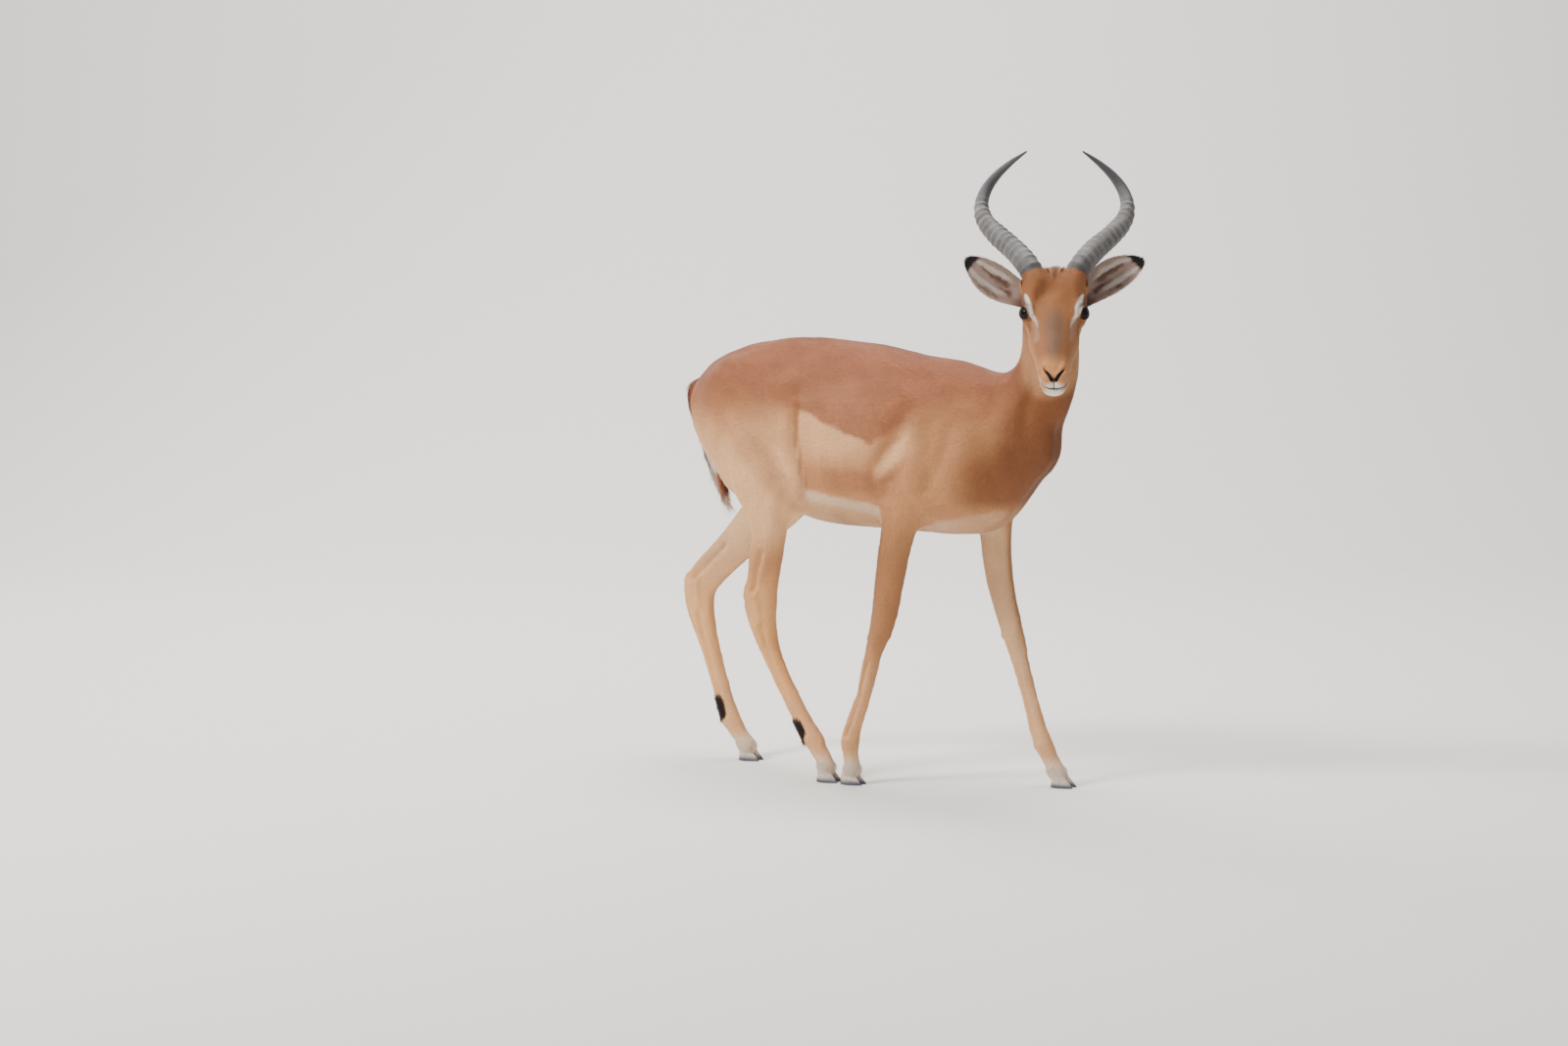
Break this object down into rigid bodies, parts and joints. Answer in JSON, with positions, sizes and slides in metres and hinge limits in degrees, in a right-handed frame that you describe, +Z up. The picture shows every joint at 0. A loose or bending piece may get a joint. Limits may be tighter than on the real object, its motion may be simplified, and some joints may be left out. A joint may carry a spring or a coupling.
{
  "type": "impala ram",
  "caption": "Life-size still model of an adult impala ram walking with its head turned to its right, on its own hooves.",
  "frame": {"origin": "on the floor under the middle of the whole animal's box, horns and tail included", "axes": "+X ahead of the animal along its spine, +Y to its left, +Z up"},
  "size_m": [1.0956, 0.3766, 1.3131],
  "materials": {
    "coat_rufous": "short matt hair, red-brown, with a soft sheen",
    "coat_tan": "short matt hair, tan, paler inside the legs",
    "ear_skin": "thin skin with very short hair",
    "horn_grey": "ridged keratin, satin",
    "hoof_dark": "smooth keratin, satin",
    "eye_dark": "wet and glossy"
  },
  "bodies": {
    "root": {"trunk": "coat_rufous", "neck": "coat_rufous", "head": "coat_rufous", "tail": "coat_rufous", "leg_front_left_upper": "coat_tan", "leg_front_left_lower": "coat_tan", "leg_front_right_upper": "coat_tan", "leg_front_right_lower": "coat_tan", "leg_rear_left_upper": "coat_tan", "leg_rear_left_lower": "coat_tan", "leg_rear_right_upper": "coat_tan", "leg_rear_right_lower": "coat_tan", "ear_left": "ear_skin", "ear_right": "ear_skin", "eye_left": "eye_dark", "eye_right": "eye_dark", "horn_left": "horn_grey", "horn_right": "horn_grey", "hoof_front_left_inner": "hoof_dark", "hoof_front_left_outer": "hoof_dark", "hoof_front_right_inner": "hoof_dark", "hoof_front_right_outer": "hoof_dark", "hoof_rear_left_inner": "hoof_dark", "hoof_rear_left_outer": "hoof_dark", "hoof_rear_right_inner": "hoof_dark", "hoof_rear_right_outer": "hoof_dark"}
  },
  "joints": []
}
